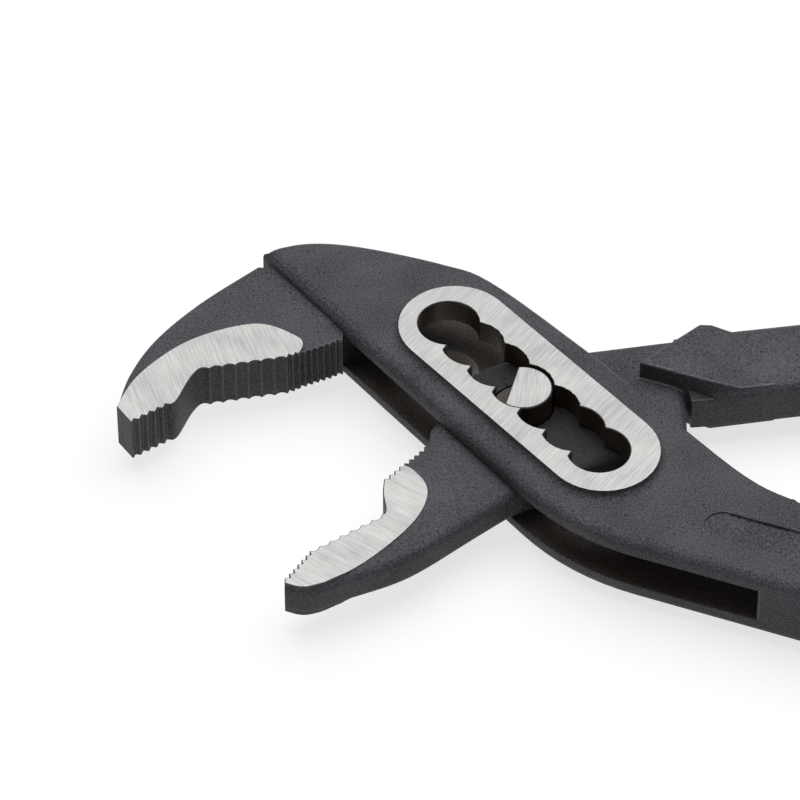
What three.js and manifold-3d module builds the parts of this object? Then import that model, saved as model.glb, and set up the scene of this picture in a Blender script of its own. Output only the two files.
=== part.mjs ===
// Water pump pliers with a box joint and a notched slot, in millimetres.
// The joint pin's axis is Z and the tool lies flat, with the underside of the joint on z = 0.
// The jaws point to -X and the handles to +X. Outlines are drawn in plan, seen from above,
// and every piece is symmetrical about the tool's middle plane.

import * as THREE from 'three';
import { mergeVertices } from 'three/addons/utils/BufferGeometryUtils.js';
import Module from 'manifold-3d';

const wasm = await Module();
wasm.setup();

// Joint pin
const PIN_RADIUS = 5.5;
const PIN_FLAT = 2.1;           // from the pin's axis to the flat on each end
const PIN_FLAT_ANGLE = 75;      // direction of the flats in plan, in degrees
const PIN_RECESS = 0.5;         // upper pin face below the ring
const CLEARANCE = 0.3;          // gap between pieces that move on each other or touch

// Notched slot and the ring ground round it
const SLOT_ANGLE = -51;         // direction of the slot in plan, in degrees
const NOTCH_COUNT = 7;
const NOTCH_PITCH = 7.15;
const HOOK_REACH = 4.3;         // from a notch's centre to the tip of the hook after it
const HOOK_FOOT = 2.2;          // from the hook's foot to the centre of the next notch
const RING_WALL = 4.8;          // ring around the notches
const RING_TRIM = 0.4;          // the ring's end centres lie this far inside the end notches
const RING_SHIFT = { along: 0.8, across: 0.55 };
const RING_FILLET = 1.6;
const FILLET_SHARE = 0.75;      // part of the ring's rise that the fillet takes

// Thicknesses, each measured on one side of the middle plane
const PLATE_HALF = 3.5;         // inner half where it runs between the cheeks
const CHEEK_THICKNESS = 3.4;    // each wall of the box joint
const RING_RISE = 1.6;          // ring above the cheek
const JAW_HALF = 4.5;           // jaw of the outer half
const PAD_RISE = 0.2;           // ground side of a jaw above its forged skin
const SHOULDER_HALF = 7.4;      // finger stop of the inner half

// Forged edges: how far the rounding reaches inward and down
const HEAD_EDGE = { inward: 3, down: 1.9 };
const JAW_EDGE = { inward: 1, down: 1 };
const PLATE_EDGE = { inward: 2.3, down: 1.9 };
const COVE_WIDTH = 2.6;         // concave foot of the step from the head down to the jaw
const COVE_LENGTH = 20;
const COVE_START = 2;           // from the head's heel

// Motion
const OPEN_ANGLE = 54;          // the jaws open this far, where the flats line up with the slot

// Inner half between the cheeks
const BODY_RADIUS = 12.9;
const BODY_EDGE_ANGLE = 10;     // direction of its upper edge in plan
const BODY_ARC_END = 165;       // where its round end runs into the neck
const WINDOW_END_GAP = 1;       // window end beyond the body at the narrowest notch
const STOP_DISTANCE = 15;       // from the pin's axis to the finger stop's front face
const STOP_ANGLE = -21.5;       // direction of that face in plan

// Outer half in plan: head and cheeks
const HEAD_HEEL = [-48.6, 38.3];
const CHEEK_BEND = [-0.5, -23.9];
const HANDLE_EDGE = [20, -39.2];
const HANDLE_EDGE_ANGLE = -21.2;
const WINDOW_TAIL = [41.3, -46.6];
const HEAD_END = 50;            // the head runs into the handle before this x
const HEAD_TOP_EDGE = [
  [-47.6, 38.4], [-40, 40.4], [-30, 39.4], [-14.5, 34.6], [-5, 29.3],
  [12.9, 10.2], [25, -4.1], [40, -21.6], [49.3, -28.1], [60, -33.2],
];

// Upper jaw in plan
const UPPER_TIP = [-74.9, -1.5];
const UPPER_NOSE = [-71.9, -5.8];
const UPPER_BACK = [[-72.9, 7.5], [-68.4, 17], [-60.4, 26.9], [-49.6, 37]];
const UPPER_FRONT_END = [-64.8, -0.9];
const UPPER_STEP = [[-63.7, 0.4], [-61.7, 5.6]];  // from the front teeth up into the hollow
const UPPER_HOLLOW_START = [-60.4, 8];
const UPPER_HOLLOW_END = [-43.6, 11.4];
const UPPER_ROOT = [-33.3, 16.2];
const UPPER_ANCHOR = [[-38, 36], [-28, 20]];      // end of the jaw, buried in the head
const UPPER_PAD = [
  [-70.9, 7.3], [-61.8, 16.3], [-50, 20.7], [-42.6, 17.8], [-40.8, 14.6], [-44, 9],
];

// Lower jaw in plan
const LOWER_TIP = [-43.2, -43.9];
const LOWER_FRONT_END = [-38.9, -37.2];
const LOWER_HOLLOW_END = [-25.9, -28.2];
const LOWER_STEP = [[-25.7, -22.8], [-25.2, -27.1]];  // from the rear teeth down to the hollow
const LOWER_NOTCH = [-25.5, -19];
const LOWER_ROOT = [-17.3, -9.7];
const NECK_CORNER = [-16.8, -5];
const LOWER_BACK = [
  [-43.2, -45.8], [-38.6, -46.7], [-31.8, -43.6], [-20.9, -38.4], [-9.1, -28.7], [-2.5, -23.2],
];
const LOWER_PAD = [
  [-43.2, -45.3], [-38.4, -46], [-29.5, -40.5], [-20.5, -30.5], [-17.6, -22.5], [-20, -17.1], [-24, -14.5],
];
const PLATE_CORNER = [30.3, -6.2];

// Teeth
const TOOTH_DEPTH = 0.75;
const TOOTH_LEAN = 0.55;        // where a tooth's root lies along its pitch
const WAVE_DEPTH = 0.6;
const UPPER_TEETH = { front: 5, hollow: 7, rear: 9 };
const LOWER_TEETH = { front: 6, hollow: 7, rear: 9 };
const BLANK_MARGIN = 4;         // forged blank beyond the line where the teeth are cut

// Finger stop of the inner half
const STOP_CORNER_X = 21.6;
const STOP_PEAK = [33.2, 17.8];
const STOP_RAMP = { start: 35, end: 41 };
const STOP_SIDE = 4.4;          // y of its near side where it is buried in the handle

// Handles: centre lines in plan, half widths and half thicknesses at the root and at the tail
const HANDLE_END = 221;         // sets the length over all, with the upper jaw's tip
const OUTER_END = -90;          // these two set the width across the handles
const INNER_END = 33;
const OUTER_LINE = [[44, -37.2], [103, -64.5], [HANDLE_END, OUTER_END]];
const INNER_LINE = [[30, 9.4], [116, 23.6], [HANDLE_END, INNER_END]];
const OUTER_BAR = { width: [10.2, 6.2], thickness: [7.2, 4.8], crest: 0.15, taper: [0.04, 0.32] };
const INNER_BAR = { width: [8.5, 6.2], thickness: [5, 4.8], crest: 1, taper: [0.1, 0.45] };
const TAIL_EDGE = 3.4;          // rounding of the handles' edges at the tail
const TAIL_ROUND = 3;
const TAIL_TURN = 80;           // degrees of rounding before the flat end

// Dipped grips
const GRIP_START = 0.36;        // share of the centre line left bare
const GRIP_WALL = 1.7;
const BORE_LEAD = 0.01;         // the bore starts this share earlier, so the grip's mouth is open

// Shallow bare recess in the outer handle
const RECESS_START = [35.4, -34.4];
const RECESS_LENGTH = 26;
const RECESS_RADIUS = 3.5;
const RECESS_DEPTH = 0.5;

// Worked out from the sizes above
const radians = THREE.MathUtils.degToRad;
const WINDOW_HALF = PLATE_HALF + CLEARANCE;
const CHEEK_HALF = WINDOW_HALF + CHEEK_THICKNESS;
const RING_HALF = CHEEK_HALF + RING_RISE;
const COVE_HEIGHT = CHEEK_HALF - HEAD_EDGE.down - JAW_HALF - CLEARANCE;
const NOTCH_RADIUS = PIN_RADIUS + CLEARANCE;
const RING_RADIUS = NOTCH_RADIUS + RING_WALL;
const SLOT_HALF = (NOTCH_COUNT - 1) / 2 * NOTCH_PITCH;
const FAR = 60;                 // past the edge of whatever is cut

// Points and directions in plan

function direction(degrees) {
  return new THREE.Vector2(Math.cos(radians(degrees)), Math.sin(radians(degrees)));
}

function point([x, y]) {
  return new THREE.Vector2(x, y);
}

function points(list) {
  return list.map(point);
}

// A point given along and across the slot, from the pin's axis.
function onSlot(along, across) {
  return direction(SLOT_ANGLE).multiplyScalar(along)
    .addScaledVector(direction(SLOT_ANGLE + 90), across);
}

// Where a line through p meets a line through q.
function meet(p, pDegrees, q, qDegrees) {
  const u = direction(pDegrees);
  const v = direction(qDegrees);
  const reach = q.clone().sub(p).cross(v) / u.cross(v);
  return p.clone().addScaledVector(u, reach);
}

function polygon(list) {
  return new THREE.Shape(list);
}

// Solids

function solid(geometry) {
  const bare = geometry.clone();
  bare.deleteAttribute('normal');
  bare.deleteAttribute('uv');
  const merged = mergeVertices(bare, 1e-4);
  const { Manifold, Mesh } = wasm;
  return new Manifold(new Mesh({
    numProp: 3,
    vertProperties: new Float32Array(merged.attributes.position.array),
    triVerts: new Uint32Array(merged.index.array),
  }));
}

function prism(shape, low, high, curveSegments = 8) {
  const depth = high - low;
  const geometry = new THREE.ExtrudeGeometry(shape, { depth, bevelEnabled: false, curveSegments });
  return solid(geometry.translate(0, 0, low));
}

// A plate with both faces rounded off at the edge, as a forging has.
function forging(shape, half, edge, curveSegments = 8) {
  const geometry = new THREE.ExtrudeGeometry(shape, {
    depth: 2 * (half - edge.down),
    bevelThickness: edge.down,
    bevelSize: edge.inward,
    bevelOffset: -edge.inward,
    bevelSegments: 4,
    curveSegments,
  });
  return solid(geometry.translate(0, 0, edge.down - half));
}

// A skin over closed rings of equal count, with a flat cap at each end.
function loft(rings) {
  const count = rings[0].length;
  const last = (rings.length - 1) * count;
  const index = [];
  for (let r = 0; r < rings.length - 1; r++) {
    for (let i = 0; i < count; i++) {
      const a = r * count + i;
      const b = r * count + (i + 1) % count;
      index.push(a, b, a + count, b, b + count, a + count);
    }
  }
  for (let i = 1; i < count - 1; i++) {
    index.push(0, i + 1, i);
    index.push(last, last + i, last + i + 1);
  }
  const geometry = new THREE.BufferGeometry().setFromPoints(rings.flat());
  geometry.setIndex(index);
  return solid(geometry);
}

function onBothFaces(body) {
  return body.add(body.mirror([0, 0, 1]));
}

function named(name, body, material) {
  const { vertProperties, triVerts } = body.getMesh();
  const geometry = new THREE.BufferGeometry();
  geometry.setAttribute('position', new THREE.BufferAttribute(new Float32Array(vertProperties), 3));
  geometry.setIndex(new THREE.BufferAttribute(new Uint32Array(triVerts), 1));
  geometry.computeVertexNormals();
  const mesh = new THREE.Mesh(geometry, material);
  mesh.name = name;
  return mesh;
}

// Teeth along a path, cut to the left of its direction of travel.

function cutTeeth(path, end, count) {
  const start = path.currentPoint.clone();
  const step = end.clone().sub(start).divideScalar(count);
  const inward = new THREE.Vector2(-step.y, step.x).setLength(TOOTH_DEPTH);
  for (let i = 0; i < count; i++) {
    const land = start.clone().addScaledVector(step, i);
    const root = land.clone().addScaledVector(step, TOOTH_LEAN).add(inward);
    const next = land.clone().add(step);
    path.lineTo(root.x, root.y);
    path.lineTo(next.x, next.y);
  }
}

function cutWaves(path, end, count) {
  const start = path.currentPoint.clone();
  const step = end.clone().sub(start).divideScalar(count);
  const inward = new THREE.Vector2(-step.y, step.x).setLength(2 * WAVE_DEPTH);
  for (let i = 0; i < count; i++) {
    const land = start.clone().addScaledVector(step, i);
    const control = land.clone().addScaledVector(step, 0.5).add(inward);
    const next = land.clone().add(step);
    path.quadraticCurveTo(control.x, control.y, next.x, next.y);
  }
}

// Handles

function barAt(bar, share) {
  const eased = THREE.MathUtils.smoothstep(share, ...bar.taper);
  return {
    width: THREE.MathUtils.lerp(...bar.width, eased),
    thickness: THREE.MathUtils.lerp(...bar.thickness, eased),
    crest: THREE.MathUtils.lerp(bar.crest, 1, eased),
    edge: {
      inward: THREE.MathUtils.lerp(HEAD_EDGE.inward, TAIL_EDGE, eased),
      down: THREE.MathUtils.lerp(HEAD_EDGE.down, TAIL_EDGE, eased),
    },
  };
}

// A rounded rectangle across the handle; crest scales the rounding of its upper side.
function barRing(centre, along, { width, thickness, crest, edge }, grow) {
  const side = new THREE.Vector2(-along.y, along.x);
  const ring = [];
  const stepsPerCorner = 5;
  for (let corner = 0; corner < 4; corner++) {
    const signWidth = corner === 0 || corner === 3 ? 1 : -1;
    const signHeight = corner < 2 ? 1 : -1;
    const scale = signWidth > 0 ? crest : 1;
    const inward = scale * edge.inward + grow;
    const down = scale * edge.down + grow;
    for (let i = 0; i < stepsPerCorner; i++) {
      const angle = (corner + i / (stepsPerCorner - 1)) * Math.PI / 2;
      const across = signWidth * (width + grow - inward) + inward * Math.cos(angle);
      const up = signHeight * (thickness + grow - down) + down * Math.sin(angle);
      const spot = centre.clone().addScaledVector(side, across);
      ring.push(new THREE.Vector3(spot.x, spot.y, up));
    }
  }
  return ring;
}

// A handle from one share of its centre line to the tail, grown by extra all round.
function handleBar(line, bar, from, extra) {
  const curve = new THREE.QuadraticBezierCurve(...points(line));
  const stations = 16;
  const rings = [];
  const addRing = (share, beyond, inset) => {
    const along = curve.getTangentAt(share);
    const centre = curve.getPointAt(share).addScaledVector(along, beyond);
    rings.push(barRing(centre, along, barAt(bar, share), extra - inset));
  };
  for (let i = 0; i < stations; i++) {
    addRing(from + (1 - from) * i / stations, 0, 0);
  }
  const tailSteps = 4;
  for (let i = 0; i <= tailSteps; i++) {
    const angle = i / tailSteps * radians(TAIL_TURN);
    addRing(1, extra + TAIL_ROUND * (Math.sin(angle) - 1), TAIL_ROUND * (1 - Math.cos(angle)));
  }
  return loft(rings);
}

function grip(line, bar) {
  const outside = handleBar(line, bar, GRIP_START, CLEARANCE + GRIP_WALL);
  const bore = handleBar(line, bar, GRIP_START - BORE_LEAD, CLEARANCE);
  return outside.subtract(bore);
}

// Outer half

// Both sides of the slot: plain round notches above, hooked notches below.
function slotShape() {
  const centres = [];
  for (let k = 0; k < NOTCH_COUNT; k++) {
    centres.push(k * NOTCH_PITCH - SLOT_HALF);
  }
  const cusp = Math.acos(NOTCH_PITCH / 2 / NOTCH_RADIUS);
  const tip = -Math.acos(HOOK_REACH / NOTCH_RADIUS);
  const foot = -Math.PI + Math.acos(HOOK_FOOT / NOTCH_RADIUS);
  const shape = new THREE.Shape();
  const last = NOTCH_COUNT - 1;
  shape.absarc(centres[0], 0, NOTCH_RADIUS, tip, cusp - 2 * Math.PI, true);
  for (let k = 1; k < last; k++) {
    shape.absarc(centres[k], 0, NOTCH_RADIUS, Math.PI - cusp, cusp, true);
  }
  shape.absarc(centres[last], 0, NOTCH_RADIUS, Math.PI - cusp, foot, true);
  for (let k = last - 1; k > 0; k--) {
    shape.absarc(centres[k], 0, NOTCH_RADIUS, tip, foot, true);
  }
  return shape;
}

function slotCut() {
  return prism(slotShape(), -FAR, FAR, 12).rotate([0, 0, SLOT_ANGLE]);
}

function stadium(radius, height) {
  const reach = SLOT_HALF - RING_TRIM;
  const ring = [];
  const steps = 20;
  for (let end = 0; end < 2; end++) {
    const centre = end === 0 ? reach : -reach;
    for (let i = 0; i <= steps; i++) {
      const angle = radians(-90 + 180 * (end + i / steps));
      const along = RING_SHIFT.along + centre + radius * Math.cos(angle);
      const spot = onSlot(along, RING_SHIFT.across + radius * Math.sin(angle));
      ring.push(new THREE.Vector3(spot.x, spot.y, height));
    }
  }
  return ring;
}

// Raised ring on each cheek, with a hollow fillet at its foot.
function ringBosses() {
  const rings = [stadium(RING_RADIUS + RING_FILLET, CHEEK_HALF - CHEEK_THICKNESS / 2)];
  const steps = 4;
  for (let i = 0; i <= steps; i++) {
    const angle = i / steps * Math.PI / 2;
    const radius = RING_RADIUS + RING_FILLET * (1 - Math.sin(angle));
    rings.push(stadium(radius, CHEEK_HALF + FILLET_SHARE * RING_RISE * (1 - Math.cos(angle))));
  }
  rings.push(stadium(RING_RADIUS, RING_HALF));
  return onBothFaces(loft(rings));
}

// Forged block of head, cheeks and handle root: rounded below, cut square along its upper edge.
function headBlock() {
  const sideAngle = THREE.MathUtils.radToDeg(
    point(CHEEK_BEND).sub(point(HEAD_HEEL)).angle());
  const bend = meet(point(CHEEK_BEND), sideAngle, point(HANDLE_EDGE), HANDLE_EDGE_ANGLE);
  const tail = meet(point(HANDLE_EDGE), HANDLE_EDGE_ANGLE, new THREE.Vector2(HEAD_END, 0), 90);

  const blank = new THREE.Shape();
  blank.moveTo(...HEAD_HEEL);
  blank.lineTo(...CHEEK_BEND);
  blank.quadraticCurveTo(bend.x, bend.y, ...HANDLE_EDGE);
  blank.lineTo(tail.x, tail.y);
  blank.lineTo(HEAD_END, FAR);
  blank.lineTo(HEAD_HEEL[0], FAR);

  const upper = new THREE.Shape();
  upper.moveTo(-FAR, -FAR);
  upper.lineTo(-FAR, HEAD_TOP_EDGE[0][1]);
  upper.lineTo(...HEAD_TOP_EDGE[0]);
  upper.splineThru(points(HEAD_TOP_EDGE.slice(1)));
  upper.lineTo(FAR, -FAR);
  return forging(blank, CHEEK_HALF, HEAD_EDGE).intersect(prism(upper, -FAR, FAR, 5));
}

function upperMouth() {
  const nose = point(UPPER_NOSE);
  const before = nose.clone().add(nose).sub(point(UPPER_FRONT_END));
  const mouth = new THREE.Shape();
  mouth.moveTo(before.x, before.y);
  mouth.lineTo(...UPPER_NOSE);
  cutTeeth(mouth, point(UPPER_FRONT_END), UPPER_TEETH.front);
  mouth.splineThru(points([...UPPER_STEP, UPPER_HOLLOW_START]));
  cutWaves(mouth, point(UPPER_HOLLOW_END), UPPER_TEETH.hollow);
  cutTeeth(mouth, point(UPPER_ROOT), UPPER_TEETH.rear);
  mouth.lineTo(UPPER_ROOT[0], HEAD_HEEL[1]);
  mouth.lineTo(0, HEAD_HEEL[1]);
  mouth.lineTo(0, -FAR);
  mouth.lineTo(-2 * FAR, -FAR);
  return prism(mouth, -FAR, FAR, 4);
}

function upperJaw() {
  const nose = point(UPPER_NOSE);
  const belowNose = nose.clone().sub(point(UPPER_TIP)).setLength(BLANK_MARGIN).add(nose);
  const outline = new THREE.Shape();
  outline.moveTo(...UPPER_TIP);
  outline.splineThru(points(UPPER_BACK));
  outline.lineTo(...UPPER_ANCHOR[0]);
  outline.lineTo(...UPPER_ANCHOR[1]);
  outline.lineTo(UPPER_ROOT[0] + BLANK_MARGIN, UPPER_ROOT[1] - BLANK_MARGIN);
  outline.lineTo(UPPER_HOLLOW_END[0], UPPER_HOLLOW_END[1] - BLANK_MARGIN);
  outline.lineTo(belowNose.x, belowNose.y);

  const pad = new THREE.Shape();
  pad.moveTo(...UPPER_TIP);
  pad.splineThru(points(UPPER_PAD));
  pad.lineTo(UPPER_HOLLOW_START[0], UPPER_HOLLOW_START[1] - BLANK_MARGIN);
  pad.lineTo(belowNose.x, belowNose.y);
  return forging(outline, JAW_HALF, JAW_EDGE)
    .add(prism(pad, -JAW_HALF - PAD_RISE, JAW_HALF + PAD_RISE))
    .add(jawCoves().intersect(prism(outline, -FAR, FAR)))
    .subtract(upperMouth());
}

// Concave foot between the head's side and the jaw below it, on both faces.
function jawCoves() {
  const side = point(CHEEK_BEND).sub(point(HEAD_HEEL));
  const cove = new THREE.Shape();
  cove.moveTo(COVE_WIDTH, -COVE_HEIGHT);
  cove.lineTo(COVE_WIDTH, COVE_HEIGHT);
  cove.lineTo(0, COVE_HEIGHT);
  cove.quadraticCurveTo(0, 0, -COVE_WIDTH, 0);
  cove.lineTo(-COVE_WIDTH, -COVE_HEIGHT);
  const depth = COVE_LENGTH;
  const geometry = new THREE.ExtrudeGeometry(cove, { depth, bevelEnabled: false, curveSegments: 6 });
  geometry.rotateX(Math.PI / 2);
  geometry.rotateZ(side.angle() + Math.PI / 2);
  const start = side.clone().setLength(COVE_START).add(point(HEAD_HEEL));
  geometry.translate(start.x, start.y, JAW_HALF);
  return onBothFaces(solid(geometry));
}

// Room for the inner half between the cheeks, open along both sides of the head.
function windowCut() {
  const end = -SLOT_HALF - BODY_RADIUS - WINDOW_END_GAP;
  const relief = BODY_EDGE_ANGLE + OPEN_ANGLE;
  const body = onSlot(-SLOT_HALF, 0)
    .addScaledVector(direction(relief + 90), BODY_RADIUS + WINDOW_END_GAP);
  const corner = meet(onSlot(end, 0), SLOT_ANGLE + 90, body, relief);
  const tail = point(WINDOW_TAIL);
  const across = direction(HANDLE_EDGE_ANGLE + 90);
  const outline = polygon([
    onSlot(end, -FAR),
    corner,
    corner.clone().addScaledVector(direction(relief), FAR),
    tail.clone().addScaledVector(across, 2 * FAR),
    tail.clone().addScaledVector(across, -FAR),
  ]);
  return prism(outline, -WINDOW_HALF, WINDOW_HALF);
}

function handleRecess() {
  const along = direction(HANDLE_EDGE_ANGLE);
  const start = point(RECESS_START);
  const end = start.clone().addScaledVector(along, RECESS_LENGTH);
  const turn = radians(HANDLE_EDGE_ANGLE);
  const outline = new THREE.Shape();
  outline.absarc(start.x, start.y, RECESS_RADIUS, turn + Math.PI / 2, turn + 1.5 * Math.PI, false);
  outline.absarc(end.x, end.y, RECESS_RADIUS, turn - Math.PI / 2, turn + Math.PI / 2, false);
  return prism(outline, CHEEK_HALF - RECESS_DEPTH, RING_HALF);
}

function outerHalf() {
  return headBlock()
    .add(handleBar(OUTER_LINE, OUTER_BAR, 0, 0))
    .subtract(handleRecess())
    .add(ringBosses())
    .subtract(windowCut())
    .add(upperJaw())
    .subtract(slotCut());
}

// Inner half

function lowerMouth() {
  const mouth = new THREE.Shape();
  mouth.moveTo(-FAR, NECK_CORNER[1]);
  mouth.lineTo(...NECK_CORNER);
  mouth.lineTo(...LOWER_ROOT);
  cutTeeth(mouth, point(LOWER_NOTCH), LOWER_TEETH.rear);
  mouth.splineThru(points([...LOWER_STEP, LOWER_HOLLOW_END]));
  cutWaves(mouth, point(LOWER_FRONT_END), LOWER_TEETH.hollow);
  cutTeeth(mouth, point(LOWER_TIP), LOWER_TEETH.front);
  mouth.lineTo(LOWER_TIP[0], -FAR);
  mouth.lineTo(-FAR, -FAR);
  return prism(mouth, -FAR, FAR, 4);
}

// Edge of the forged blank on the tooth side, from the neck to the tip.
function lowerBlankEdge(outline) {
  for (const [x, y] of [LOWER_ROOT, LOWER_NOTCH, LOWER_HOLLOW_END, LOWER_FRONT_END, LOWER_TIP]) {
    outline.lineTo(x - BLANK_MARGIN, y + BLANK_MARGIN / 2);
  }
}

// Lower jaw, neck and the body round the pin, flat so that it runs between the cheeks.
function innerPlate() {
  const edge = direction(BODY_EDGE_ANGLE + 90).multiplyScalar(BODY_RADIUS);
  const edgeEnd = meet(edge, BODY_EDGE_ANGLE, new THREE.Vector2(STOP_RAMP.end, 0), 90);
  const outline = new THREE.Shape();
  outline.moveTo(...LOWER_BACK[0]);
  outline.splineThru(points(LOWER_BACK.slice(1)));
  outline.lineTo(...PLATE_CORNER);
  outline.lineTo(PLATE_CORNER[0], INNER_LINE[0][1]);
  outline.lineTo(STOP_RAMP.end, INNER_LINE[0][1]);
  outline.lineTo(edgeEnd.x, edgeEnd.y);
  outline.absarc(0, 0, BODY_RADIUS, radians(BODY_EDGE_ANGLE + 90), radians(BODY_ARC_END), false);
  outline.lineTo(...NECK_CORNER);
  lowerBlankEdge(outline);

  const pad = new THREE.Shape();
  pad.moveTo(...LOWER_PAD[0]);
  pad.splineThru(points(LOWER_PAD.slice(1)));
  lowerBlankEdge(pad);
  return forging(outline, PLATE_HALF, PLATE_EDGE)
    .add(prism(pad, -PLATE_HALF - PAD_RISE, PLATE_HALF + PAD_RISE))
    .subtract(lowerMouth());
}

// Finger stop: a wedge on the upper face that ramps down along the handle's near edge.
function fingerStop() {
  const front = stopFront();
  const buried = 2 * STOP_RAMP.end - STOP_RAMP.start;
  const low = INNER_BAR.thickness[0] - CLEARANCE;
  const plan = polygon([
    front,
    meet(front, STOP_ANGLE, new THREE.Vector2(STOP_RAMP.start, 0), 90),
    new THREE.Vector2(buried, STOP_SIDE),
    new THREE.Vector2(buried, STOP_PEAK[1]),
    point(STOP_PEAK),
  ]);
  const side = polygon(points([
    [0, -low], [FAR, -low], [FAR, low],
    [STOP_RAMP.end, low], [STOP_RAMP.start, SHOULDER_HALF], [0, SHOULDER_HALF],
  ]));
  return prism(plan, -FAR, FAR).intersect(prism(side, -FAR, FAR).rotate([90, 0, 0]));
}

// Corner where the stop's front face begins.
function stopFront() {
  const face = direction(STOP_ANGLE + 90).multiplyScalar(STOP_DISTANCE);
  return meet(face, STOP_ANGLE, new THREE.Vector2(STOP_CORNER_X, 0), 90);
}

// Everything on the pin's side of the finger stop, above and below the plate.
function stopRelief() {
  const front = stopFront();
  const end = front.clone().addScaledVector(direction(STOP_ANGLE), FAR);
  const outline = polygon([
    front, point(STOP_PEAK), new THREE.Vector2(STOP_PEAK[0], FAR), new THREE.Vector2(-FAR, FAR),
    new THREE.Vector2(-FAR, -FAR), new THREE.Vector2(end.x, -FAR), end,
  ]);
  return onBothFaces(prism(outline, PLATE_HALF, FAR));
}

function pinBore() {
  return prism(disc(PIN_RADIUS + CLEARANCE), -FAR, FAR, 24);
}

function innerHalf() {
  return handleBar(INNER_LINE, INNER_BAR, 0, 0)
    .add(fingerStop())
    .subtract(stopRelief())
    .add(innerPlate())
    .subtract(pinBore());
}

// Joint pin: round through the inner half, with a flat on each end that lies in the slot.

function disc(radius) {
  const outline = new THREE.Shape();
  outline.absarc(0, 0, radius, 0, 2 * Math.PI, false);
  return outline;
}

function jointPin() {
  const flat = direction(PIN_FLAT_ANGLE + 90).multiplyScalar(PIN_FLAT);
  const along = direction(PIN_FLAT_ANGLE).multiplyScalar(FAR);
  const away = direction(PIN_FLAT_ANGLE + 90).multiplyScalar(FAR);
  const beyondFlat = polygon([
    flat.clone().sub(along), flat.clone().add(along),
    flat.clone().add(along).add(away), flat.clone().sub(along).add(away),
  ]);
  return prism(disc(PIN_RADIUS), -RING_HALF, RING_HALF - PIN_RECESS, 24)
    .subtract(onBothFaces(prism(beyondFlat, PLATE_HALF, FAR)));
}

// Assembly

const blackSteel = { color: '#4c4c4f', metalness: 0.6, roughness: 0.6 };
const groundSteel = { color: '#c9c8c4', metalness: 1, roughness: 0.35 };
const dippedVinyl = { color: '#7d1f1d', metalness: 0, roughness: 0.5 };

const pliers = new THREE.Group();
pliers.position.z = RING_HALF;
for (const [name, body, look] of [
  ['outer_half', outerHalf(), blackSteel],
  ['outer_grip', grip(OUTER_LINE, OUTER_BAR), dippedVinyl],
  ['joint_pin', jointPin(), groundSteel],
  ['inner_half', innerHalf(), blackSteel],
  ['inner_grip', grip(INNER_LINE, INNER_BAR), dippedVinyl],
]) {
  pliers.add(named(name, body, new THREE.MeshStandardMaterial(look)));
}

export default pliers;
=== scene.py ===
# %% [markdown]
# # Water pump pliers, dressed for a picture
#
# The solids come from the CAD model and are already right in shape, size and place. What a
# picture needs besides is what a workshop leaves on steel: small rounded edges that catch the
# light, a blasted and blackened skin, faces ground bright, and a dipped coating on the handles.
# Each cell makes one of those things.

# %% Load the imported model
import math

import bmesh
import bpy
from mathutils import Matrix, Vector
from mathutils.bvhtree import BVHTree
from mathutils.geometry import intersect_point_line


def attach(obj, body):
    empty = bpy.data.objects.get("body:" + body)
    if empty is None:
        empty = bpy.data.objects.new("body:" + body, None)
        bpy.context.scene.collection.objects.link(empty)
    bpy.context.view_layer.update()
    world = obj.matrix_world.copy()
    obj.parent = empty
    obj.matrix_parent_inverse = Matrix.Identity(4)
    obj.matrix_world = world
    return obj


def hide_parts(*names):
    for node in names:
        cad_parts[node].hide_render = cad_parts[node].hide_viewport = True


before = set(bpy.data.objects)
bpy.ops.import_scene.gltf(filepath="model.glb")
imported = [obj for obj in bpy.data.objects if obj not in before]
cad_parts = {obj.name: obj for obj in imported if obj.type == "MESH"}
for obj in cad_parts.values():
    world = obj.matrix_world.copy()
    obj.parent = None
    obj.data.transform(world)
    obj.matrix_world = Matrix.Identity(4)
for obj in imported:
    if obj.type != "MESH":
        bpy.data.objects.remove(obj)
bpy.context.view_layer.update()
MM = 0.001
print("nodes:", sorted(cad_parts))

# %% [markdown]
# ## Camera
#
# The photograph was taken from a good distance, looking about 45 degrees down, so lines that
# are parallel on the tool stay nearly parallel in the picture. A short lens close by would
# splay them. A long lens from about 0.9 m gives the same look as the photograph. The camera
# stands in front of the tool, towards -Y, and isn't rolled.

# %% Camera at the photograph's angle
camera_data = bpy.data.cameras.new("camera")
camera_data.lens = 225
camera_data.sensor_width = 36
camera = bpy.data.objects.new("camera", camera_data)
camera.location = (-0.0226, -0.6578, 0.6611)
camera.rotation_euler = (math.radians(45.46), 0, 0)
bpy.context.collection.objects.link(camera)
bpy.context.scene.camera = camera
bpy.context.scene.view_settings.view_transform = "Standard"
print("camera is", round(camera.location.length, 3), "m from the joint")

# %% [markdown]
# ## Helpers for materials
#
# Colours are written as sRGB hex values, the way a colour picker shows them, while shaders
# work in linear light, so one function turns one into the other. Another adds a shader node
# and fills its sockets: a value sets the socket, and another node's output is linked to it.
# Every pattern reads Object coordinates, which are metres here, so the scale of a pattern
# follows from the size of its features on the real steel.

# %% Colour and node helpers
def linear(hex_colour):
    """sRGB hex to linear RGBA."""
    channels = [int(hex_colour[i:i + 2], 16) / 255 for i in (1, 3, 5)]
    return [c / 12.92 if c <= 0.04045 else ((c + 0.055) / 1.055) ** 2.4 for c in channels] + [1]


def add(tree, kind, inputs=None, **settings):
    """Adds a node, sets its properties, and sets or links its inputs."""
    node = tree.nodes.new(kind)
    for key, value in settings.items():
        setattr(node, key, value)
    for key, value in (inputs or {}).items():
        socket = node.inputs[key]
        if isinstance(value, bpy.types.NodeSocket):
            tree.links.new(value, socket)
        else:
            socket.default_value = value
    return node


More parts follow.
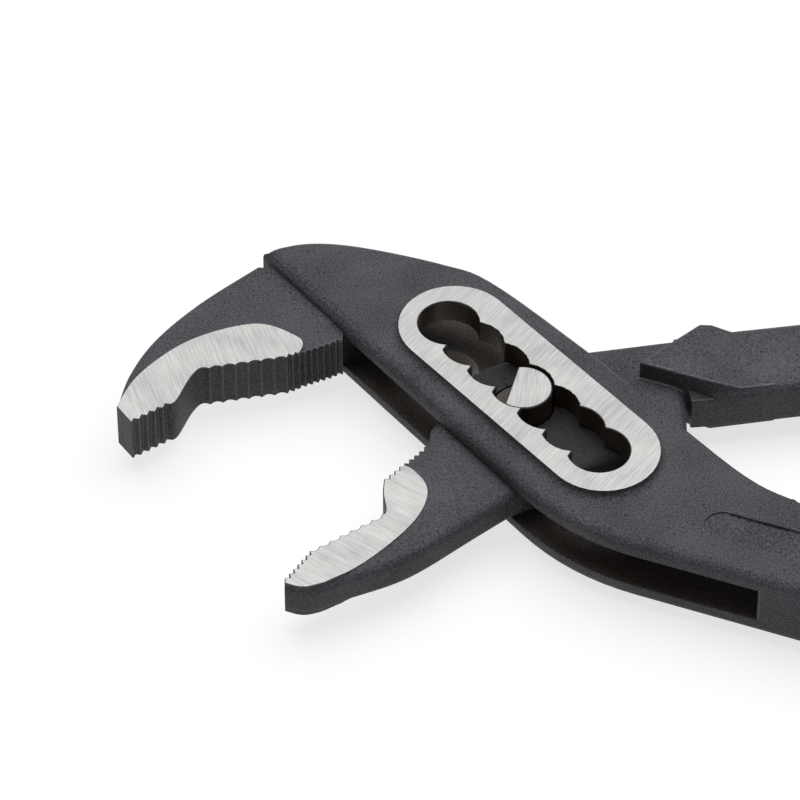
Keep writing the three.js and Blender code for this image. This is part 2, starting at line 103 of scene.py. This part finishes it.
def new_material(name):
    """An empty material, its node tree, and the place on the piece that patterns read."""
    material = bpy.data.materials.new(name)
    material.use_nodes = True
    tree = material.node_tree
    tree.nodes.clear()
    place = add(tree, "ShaderNodeTexCoord").outputs["Object"]
    return material, tree, place


def per_metre(size_mm):
    """Texture scale for features of about this size."""
    return 1 / (size_mm * MM)


print("#808080 is", round(linear("#808080")[0], 3), "in linear light")

# %% [markdown]
# ## Blackened steel
#
# The forgings were blasted with grit, then phosphated and oiled, which leaves a dark grey skin
# with a fine, even grain and a few pits. Real grit marks are about a tenth of a millimetre,
# too fine for the picture, so the grain is drawn at a third of one. A painted texture could
# hold all this, but noise costs nothing and covers every side. Three noises do the work: the
# grain, a swell three times as wide, and a slow change of tone. The pits come from a Voronoi
# pattern, whose distance is zero at scattered points. The skin is an oxide more than bare
# metal, so it is only partly metallic.
#
# The inner half is painted darker and browner where it slides between the cheeks. This is painted
# shade for the shadowed inside of the joint, not a colour of the steel. That zone is a band along
# the slot, so the distance from the slot's line fades one colour into the other.

# %% Blasted and phosphated steel
SLOT_DIRECTION = Vector((math.cos(math.radians(-51)), math.sin(math.radians(-51)), 0))
SLOT_SIDE = (-SLOT_DIRECTION.y, SLOT_DIRECTION.x, 0)
# Colour of the painted shade inside the slot.
SLOT_SHADE_TONE = "#241f1c"
SLOT_SHADE_FADE_MM = 4
CLOUD_MM = 14
PIT_SPACING_MM = 1.7


def blackened_steel(name, dark, pale, roughness, grain_mm, grain_height_mm, slot_shade_mm=0):
    material, tree, place = new_material(name)
    grain = add(tree, "ShaderNodeTexNoise", {
        "Vector": place, "Scale": per_metre(grain_mm), "Detail": 3, "Roughness": 0.6})
    swell = add(tree, "ShaderNodeTexNoise", {
        "Vector": place, "Scale": per_metre(grain_mm * 3), "Detail": 2, "Roughness": 0.5})
    cloud = add(tree, "ShaderNodeTexNoise", {
        "Vector": place, "Scale": per_metre(CLOUD_MM), "Detail": 2, "Roughness": 0.5})
    mixed = add(tree, "ShaderNodeMix", {
        "Factor": 0.22, "A": grain.outputs["Fac"], "B": cloud.outputs["Fac"]},
        data_type="FLOAT")
    tone = add(tree, "ShaderNodeMapRange", {
        "Value": mixed.outputs["Result"], "From Min": 0.38, "From Max": 0.62})
    skin = add(tree, "ShaderNodeMix", {
        "Factor": tone.outputs["Result"], "A": linear(dark), "B": linear(pale)},
        data_type="RGBA")
    # Painted shade: a darker, browner band along the slot, where the inside of the joint lies in
    # shade.
    if slot_shade_mm:
        across = add(tree, "ShaderNodeVectorMath", {
            0: place, 1: SLOT_SIDE}, operation="DOT_PRODUCT")
        away = add(tree, "ShaderNodeMath", {0: across.outputs["Value"]}, operation="ABSOLUTE")
        out_of_shade = add(tree, "ShaderNodeMapRange", {
            "Value": away.outputs["Value"], "From Min": slot_shade_mm * MM,
            "From Max": (slot_shade_mm + SLOT_SHADE_FADE_MM) * MM, "To Min": 0.15})
        skin = add(tree, "ShaderNodeMix", {
            "Factor": out_of_shade.outputs["Result"], "A": linear(SLOT_SHADE_TONE),
            "B": skin.outputs["Result"]}, data_type="RGBA")
    uneven = add(tree, "ShaderNodeMath", {
        0: grain.outputs["Fac"], 1: swell.outputs["Fac"]}, operation="ADD")
    pits = add(tree, "ShaderNodeTexVoronoi", {
        "Vector": place, "Scale": per_metre(PIT_SPACING_MM)})
    outside = add(tree, "ShaderNodeMapRange", {
        "Value": pits.outputs["Distance"], "From Min": 0.06, "From Max": 0.17})
    height = add(tree, "ShaderNodeMath", {
        0: uneven.outputs["Value"], 1: outside.outputs["Result"]}, operation="ADD")
    bump = add(tree, "ShaderNodeBump", {
        "Strength": 1, "Distance": grain_height_mm * MM, "Height": height.outputs["Value"]})
    shader = add(tree, "ShaderNodeBsdfPrincipled", {
        "Base Color": skin.outputs["Result"], "Metallic": 0.35, "Roughness": roughness,
        "Normal": bump.outputs["Normal"]})
    add(tree, "ShaderNodeOutputMaterial", {"Surface": shader.outputs["BSDF"]})
    return material


black_skin = blackened_steel("phosphated_steel", "#29292d", "#606066", 0.6, 0.34, 0.18)
# The inner half's skin, with painted shade along the slot.
slot_shaded_skin = blackened_steel(
    "phosphated_steel_slot_shade", "#29292d", "#606066", 0.6, 0.34, 0.18, slot_shade_mm=7)
raw_skin = blackened_steel("raw_forging_steel", "#3a3532", "#5c544e", 0.6, 0.5, 0.15)
slot_skin = blackened_steel("milled_black_steel", "#2a211b", "#4d3f34", 0.42, 0.4, 0.03)
worn_skin = blackened_steel("rubbed_edge_steel", "#3a3a3e", "#66666b", 0.5, 0.34, 0.05)
print("dark finishes:", [m.name for m in (black_skin, slot_shaded_skin, raw_skin, slot_skin, worn_skin)])

# %% [markdown]
# ## Ground steel
#
# The ring, the sides of the jaws and the ends of the pin were ground after blackening, so
# bare steel shows with straight grinding lines. Anisotropic shading could stretch the shine,
# but the lines themselves can be seen, so they are drawn: a noise that is stretched 25 times
# along one direction. A Mapping node of the Texture type turns the pattern after stretching
# it, because each face was ground at its own angle. The real lines are finer than 0.28 mm,
# which is about as fine as the picture can show.

# %% Ground steel with lines at an angle
LINE_MM = 0.28
LINE_STRETCH = 25
PATCH_MM = 7


def ground_steel(name, degrees, dark="#8f8f8e", pale="#b5b5b3"):
    material, tree, place = new_material(name)
    turned = add(tree, "ShaderNodeMapping", {
        "Vector": place, "Rotation": (0, 0, math.radians(degrees)),
        "Scale": (LINE_STRETCH, 1, 1)}, vector_type="TEXTURE")
    lines = add(tree, "ShaderNodeTexNoise", {
        "Vector": turned.outputs["Vector"], "Scale": per_metre(LINE_MM), "Detail": 4,
        "Roughness": 0.65})
    patches = add(tree, "ShaderNodeTexNoise", {
        "Vector": place, "Scale": per_metre(PATCH_MM), "Detail": 2})
    mixed = add(tree, "ShaderNodeMix", {
        "Factor": 0.3, "A": lines.outputs["Fac"], "B": patches.outputs["Fac"]},
        data_type="FLOAT")
    tone = add(tree, "ShaderNodeMapRange", {
        "Value": mixed.outputs["Result"], "From Min": 0.3, "From Max": 0.62})
    steel = add(tree, "ShaderNodeMix", {
        "Factor": tone.outputs["Result"], "A": linear(dark), "B": linear(pale)},
        data_type="RGBA")
    roughness = add(tree, "ShaderNodeMapRange", {
        "Value": lines.outputs["Fac"], "To Min": 0.5, "To Max": 0.38})
    bump = add(tree, "ShaderNodeBump", {
        "Strength": 0.5, "Distance": 0.02 * MM, "Height": lines.outputs["Fac"]})
    shader = add(tree, "ShaderNodeBsdfPrincipled", {
        "Base Color": steel.outputs["Result"], "Metallic": 1,
        "Roughness": roughness.outputs["Result"], "Normal": bump.outputs["Normal"]})
    add(tree, "ShaderNodeOutputMaterial", {"Surface": shader.outputs["BSDF"]})
    return material


ring_steel = ground_steel("ground_steel_ring", 54)
upper_jaw_steel = ground_steel("ground_steel_upper_jaw", 108)
lower_jaw_steel = ground_steel("ground_steel_lower_jaw", 144)
pin_steel = ground_steel("ground_steel_pin", 83)
print("grinding lines are", LINE_MM * LINE_STRETCH, "mm long and", LINE_MM, "mm wide")

# %% [markdown]
# ## Dipped vinyl
#
# The handles were dipped in soft PVC, which dries to a smooth satin coat with a faint orange
# peel. A shallow noise of about 2 mm gives the peel, and a thin clear coat gives the soft
# shine. The colour wanders very little, as in a dip that was stirred well.

# %% Dipped vinyl
PEEL_MM = 2.2
DIP_CLOUD_MM = 18


def dipped_vinyl(name, dark, pale):
    material, tree, place = new_material(name)
    peel = add(tree, "ShaderNodeTexNoise", {
        "Vector": place, "Scale": per_metre(PEEL_MM), "Detail": 2, "Roughness": 0.4})
    cloud = add(tree, "ShaderNodeTexNoise", {
        "Vector": place, "Scale": per_metre(DIP_CLOUD_MM)})
    tone = add(tree, "ShaderNodeMapRange", {
        "Value": cloud.outputs["Fac"], "From Min": 0.35, "From Max": 0.65})
    dip = add(tree, "ShaderNodeMix", {
        "Factor": tone.outputs["Result"], "A": linear(dark), "B": linear(pale)},
        data_type="RGBA")
    bump = add(tree, "ShaderNodeBump", {
        "Strength": 0.4, "Distance": 0.08 * MM, "Height": peel.outputs["Fac"]})
    shader = add(tree, "ShaderNodeBsdfPrincipled", {
        "Base Color": dip.outputs["Result"], "Roughness": 0.42, "IOR": 1.53,
        "Coat Weight": 0.15, "Coat Roughness": 0.3, "Normal": bump.outputs["Normal"]})
    add(tree, "ShaderNodeOutputMaterial", {"Surface": shader.outputs["BSDF"]})
    return material


vinyl = dipped_vinyl("dipped_vinyl", "#741c1a", "#7f201d")
print("handle coating:", vinyl.name)

# %% [markdown]
# ## Rounded edges
#
# No real steel edge is perfectly sharp. A forged edge is rounded by about half a millimetre,
# and one next to a ground or milled face by less than half of that. A copy of each solid gets
# a Bevel modifier that follows a weight on each edge, so both widths fit in one modifier, and
# the new strip gets the rubbed finish.
#
# A bevel folds over itself where it is wider than the faces beside it or runs into a tight
# corner. Clamp Overlap would prevent that, but it narrows every edge of the piece to suit the
# worst corner. So the finished mesh is searched for triangles that cross, and only the edges
# near them get a narrower bevel, step by step, down to none.

# %% Find folds and ease the bevel there
HARD_ANGLE = math.radians(42)
EASE_TRIES = 9


def fold_places(piece):
    """Where a piece's bevelled mesh runs through itself, a point for each fold."""
    final = piece.evaluated_get(bpy.context.evaluated_depsgraph_get())
    mesh = final.to_mesh()
    mesh.calc_loop_triangles()
    points = [vertex.co.copy() for vertex in mesh.vertices]
    triangles = [tuple(triangle.vertices) for triangle in mesh.loop_triangles]
    areas = [triangle.area for triangle in mesh.loop_triangles]
    final.to_mesh_clear()
    tree = BVHTree.FromPolygons(points, triangles)
    crossing = {
        min(pair, key=lambda i: areas[i]) for pair in tree.overlap(tree)
        if not set(triangles[pair[0]]) & set(triangles[pair[1]])}
    return [sum((points[i] for i in triangles[t]), Vector()) / 3 for t in sorted(crossing)]


def is_near(place, start, end, reach):
    """Whether a place lies within reach of an edge."""
    share = intersect_point_line(place, start, end)[1]
    return (start.lerp(end, min(max(share, 0), 1)) - place).length < reach


def ease_folds(piece, narrow_weight, reach):
    """Narrows the bevel near each fold, and leaves the edge sharp where that isn't enough."""
    mesh = piece.data
    weights = mesh.attributes["bevel_weight_edge"].data
    steps = (narrow_weight, narrow_weight / 2, 0)
    for attempt in range(EASE_TRIES):
        folds = fold_places(piece)
        if not folds:
            break
        for edge in mesh.edges:
            weight = weights[edge.index].value
            start, end = (mesh.vertices[i].co for i in edge.vertices)
            if weight and any(is_near(place, start, end, reach) for place in folds):
                weights[edge.index].value = max(s for s in steps if s < weight - 0.01)
        mesh.update()
    return len(fold_places(piece))


print("edges over", round(math.degrees(HARD_ANGLE)), "degrees are rounded")

# %% [markdown]
# ## Dressing a solid
#
# A CAD node is a mesh of loose triangles, so its copy is merged and its flat regions are
# joined into single faces first, and then the bevel meets real edges only. Each face is given
# its finish. A joined face can be hollow, as one round a window is, and Blender may fill such
# a face right across when it is cut into triangles again, so hollow faces are split. The
# ground faces stay whole, because their teeth and notches bevel better that way. At the end a
# Weighted Normal modifier keeps the large faces flat in shading. The copy then stands for its
# CAD node and moves with the same body.

# %% Dress a copy of a CAD node
MERGE_DISTANCE = 0.002 * MM
FLAT_ANGLE = math.radians(0.5)
SKIN, WORN, GROUND = range(3)


def dressed(node, body, slot, materials, choose, edge_mm, forged_mm):
    """A merged copy of a node, with a finish per face and its edges rounded."""
    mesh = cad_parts[node].data.copy()
    mesh.materials.clear()
    for material in materials:
        mesh.materials.append(material)
    shape = bmesh.new()
    shape.from_mesh(mesh)
    bmesh.ops.remove_doubles(shape, verts=shape.verts, dist=MERGE_DISTANCE)
    bmesh.ops.dissolve_limit(
        shape, angle_limit=FLAT_ANGLE, verts=shape.verts, edges=shape.edges)
    for face in shape.faces:
        face.smooth = True
        face.material_index = choose(face)
    weight = shape.edges.layers.float.new("bevel_weight_edge")
    for edge in shape.edges:
        if len(edge.link_faces) == 2 and edge.calc_face_angle() > HARD_ANGLE:
            room = min(face.calc_area() for face in edge.link_faces) / edge.calc_length() / 2
            forged = all(face.material_index == SKIN for face in edge.link_faces)
            widths = (forged_mm, edge_mm) if forged else (edge_mm,)
            edge[weight] = max((w for w in widths if w * MM < room), default=0) / forged_mm
    unground = [f for f in shape.faces if "ground" not in materials[f.material_index].name]
    bmesh.ops.connect_verts_concave(shape, faces=unground)
    shape.to_mesh(mesh)
    shape.free()
    mesh.set_sharp_from_angle(angle=HARD_ANGLE)
    piece = bpy.data.objects.new(
        node + ("_coat" if slot == "dipped_vinyl" else "_steel"), mesh)
    bpy.context.collection.objects.link(piece)
    bevel = piece.modifiers.new("broken_edge", "BEVEL")
    bevel.limit_method = "WEIGHT"
    bevel.width = forged_mm * MM
    bevel.segments = 2
    bevel.use_clamp_overlap = False
    bevel.harden_normals = False
    bevel.material = WORN if len(materials) > 1 else SKIN
    folds = ease_folds(piece, edge_mm / forged_mm, 1.2 * forged_mm * MM)
    even = piece.modifiers.new("even_shading", "WEIGHTED_NORMAL")
    even.mode = "FACE_AREA"
    even.keep_sharp = True
    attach(piece, body)
    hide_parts(node)
    print(piece.name, len(mesh.polygons), "faces before the bevel,", folds, "folds after it")
    return piece

# %% [markdown]
# ## The two halves
#
# Which finish a face has follows from where it lies. A level face at the ring's height was
# ground, and so was one at the height of a jaw's side. The walls of the slot were milled, and
# the inside of the box joint was left as forged. Painting the faces by hand would be lost with
# the next change of the CAD model, while a rule on places holds.

# %% Outer half
MIDDLE = 8.8 * MM
RING_TOP = 8.8 * MM
UPPER_PAD = 4.7 * MM
WINDOW = 3.8 * MM
SLOT_REACH = 27.6 * MM
SLOT_WIDTH = 6.0 * MM
PAD, SLOT_WALL, RAW = range(3, 6)
CUT_EDGE_MM = 0.2
FORGED_EDGE_MM = 0.55


def is_level(face, height):
    """Whether a face is level and this far above or below the middle of the joint."""
    middle = face.calc_center_median()
    near = abs(abs(middle.z - MIDDLE) - height) < 0.03 * MM
    return near and abs(face.normal.z) > 0.99


def in_slot(face):
    middle = face.calc_center_median()
    along = middle.xy.dot(SLOT_DIRECTION.xy)
    across = middle.xy.cross(SLOT_DIRECTION.xy)
    return abs(face.normal.z) < 0.1 and abs(along) < SLOT_REACH and abs(across) < SLOT_WIDTH


def outer_finish(face):
    if is_level(face, RING_TOP):
        return GROUND
    if is_level(face, UPPER_PAD):
        return PAD
    if in_slot(face):
        return SLOT_WALL
    inward = (face.calc_center_median().z - MIDDLE) * face.normal.z <= 0
    return RAW if inward and is_level(face, WINDOW) else SKIN


outer = dressed(
    "outer_half", "outer", "black_steel",
    [black_skin, worn_skin, ring_steel, upper_jaw_steel, slot_skin, raw_skin],
    outer_finish, CUT_EDGE_MM, FORGED_EDGE_MM)

# %% Inner half
LOWER_PAD = 3.7 * MM


def inner_finish(face):
    return GROUND if is_level(face, LOWER_PAD) else SKIN


# The inner half uses the skin with painted shade along the slot.
inner = dressed(
    "inner_half", "inner", "black_steel", [slot_shaded_skin, worn_skin, lower_jaw_steel],
    inner_finish, CUT_EDGE_MM, FORGED_EDGE_MM)

# %% [markdown]
# ## Pin and grips
#
# The pin is turned and its ends are ground, and its flats and sides have the dark finish of
# the slot. The grips are soft, so their only hard edge, the rim where the coat ends, is
# rounded more.

# %% Pin and grips
PIN_END = 8 * MM
PIN_EDGE_MM = 0.25
GRIP_RIM_MM = 0.6


def pin_finish(face):
    end = abs(face.calc_center_median().z - MIDDLE) > PIN_END
    return GROUND if end and abs(face.normal.z) > 0.99 else SKIN


def grip_finish(face):
    return SKIN


pin = dressed(
    "joint_pin", "pin", "ground_steel", [slot_skin, worn_skin, pin_steel],
    pin_finish, PIN_EDGE_MM, PIN_EDGE_MM)
outer_coat = dressed(
    "outer_grip", "outer", "dipped_vinyl", [vinyl], grip_finish, GRIP_RIM_MM, GRIP_RIM_MM)
inner_coat = dressed(
    "inner_grip", "inner", "dipped_vinyl", [vinyl], grip_finish, GRIP_RIM_MM, GRIP_RIM_MM)

# %% [markdown]
# ## Floor and light
#
# The tool lies on a plain white table. A white floor lit to full white would need so much
# light that the ground steel burns out. So the floor is a mid grey for light, and adds white
# of its own for rays that look: those from the camera and those that metal has mirrored. That
# makes the background white, and the grey under it keeps the shadow.

# %% Floor
def looking_rays(tree):
    """1 for rays from the camera, and 1 for those that a surface has mirrored or let through."""
    rays = add(tree, "ShaderNodeLightPath")
    bounced = add(tree, "ShaderNodeMath", {
        0: rays.outputs["Is Glossy Ray"], 1: rays.outputs["Is Transmission Ray"]},
        operation="MAXIMUM")
    return rays.outputs["Is Camera Ray"], bounced.outputs["Value"]


floor_shape = bmesh.new()
bmesh.ops.create_grid(floor_shape, x_segments=1, y_segments=1, size=3)
floor_mesh = bpy.data.meshes.new("floor")
floor_shape.to_mesh(floor_mesh)
floor_shape.free()
floor = bpy.data.objects.new("floor", floor_mesh)
bpy.context.collection.objects.link(floor)

paper, tree, place = new_material("white_table")
camera_ray, bounced_ray = looking_rays(tree)
seen = add(tree, "ShaderNodeMath", {0: camera_ray, 1: bounced_ray}, operation="MAXIMUM")
glow = add(tree, "ShaderNodeMath", {0: seen.outputs["Value"], 1: 0.72}, operation="MULTIPLY")
white = add(tree, "ShaderNodeEmission", {
    "Color": (1, 1, 1, 1), "Strength": glow.outputs["Value"]})
matt = add(tree, "ShaderNodeBsdfDiffuse", {"Color": linear("#a8a8a8")})
both = add(tree, "ShaderNodeAddShader", {0: white.outputs["Emission"], 1: matt.outputs["BSDF"]})
add(tree, "ShaderNodeOutputMaterial", {"Surface": both.outputs["Shader"]})
floor.data.materials.append(paper)
print("floor is", round(floor.dimensions.x, 1), "m wide")

# %% [markdown]
# One large soft lamp hangs overhead and a little behind, so that level faces are bright and
# those that face the camera are dark. A small lamp of the same power would burn its own mirror
# image into the ground steel, which a lamp of almost 2 m doesn't. The surroundings are a dim
# white that fills the shadows. They look brighter to mirrored rays, so that bare steel stays
# bright from every side, and white to the camera.

# %% Lamp and surroundings
def soft_lamp(name, place, aim, size, power):
    lamp_data = bpy.data.lights.new(name, "AREA")
    lamp_data.shape = "RECTANGLE"
    lamp_data.size, lamp_data.size_y = size
    lamp_data.energy = power
    lamp = bpy.data.objects.new(name, lamp_data)
    lamp.location = place
    lamp.rotation_euler = (Vector(aim) - Vector(place)).to_track_quat("-Z", "Y").to_euler()
    bpy.context.collection.objects.link(lamp)
    return lamp


overhead = soft_lamp("overhead", (0.1, 0.42, 1.25), (0, 0, 0), (1.9, 1.5), 18)
world = bpy.data.worlds.new("studio")
world.use_nodes = True
tree = world.node_tree
tree.nodes.clear()
camera_ray, bounced_ray = looking_rays(tree)
mirrored = add(tree, "ShaderNodeMath", {
    0: bounced_ray, 1: 0.3, 2: 0.13}, operation="MULTIPLY_ADD")
strength = add(tree, "ShaderNodeMath", {
    0: camera_ray, 1: mirrored.outputs["Value"]}, operation="MAXIMUM")
sky = add(tree, "ShaderNodeBackground", {
    "Color": (1, 1, 1, 1), "Strength": strength.outputs["Value"]})
add(tree, "ShaderNodeOutputWorld", {"Surface": sky.outputs["Background"]})
bpy.context.scene.world = world
print("lamp is", round(overhead.location.length, 2), "m from the joint")
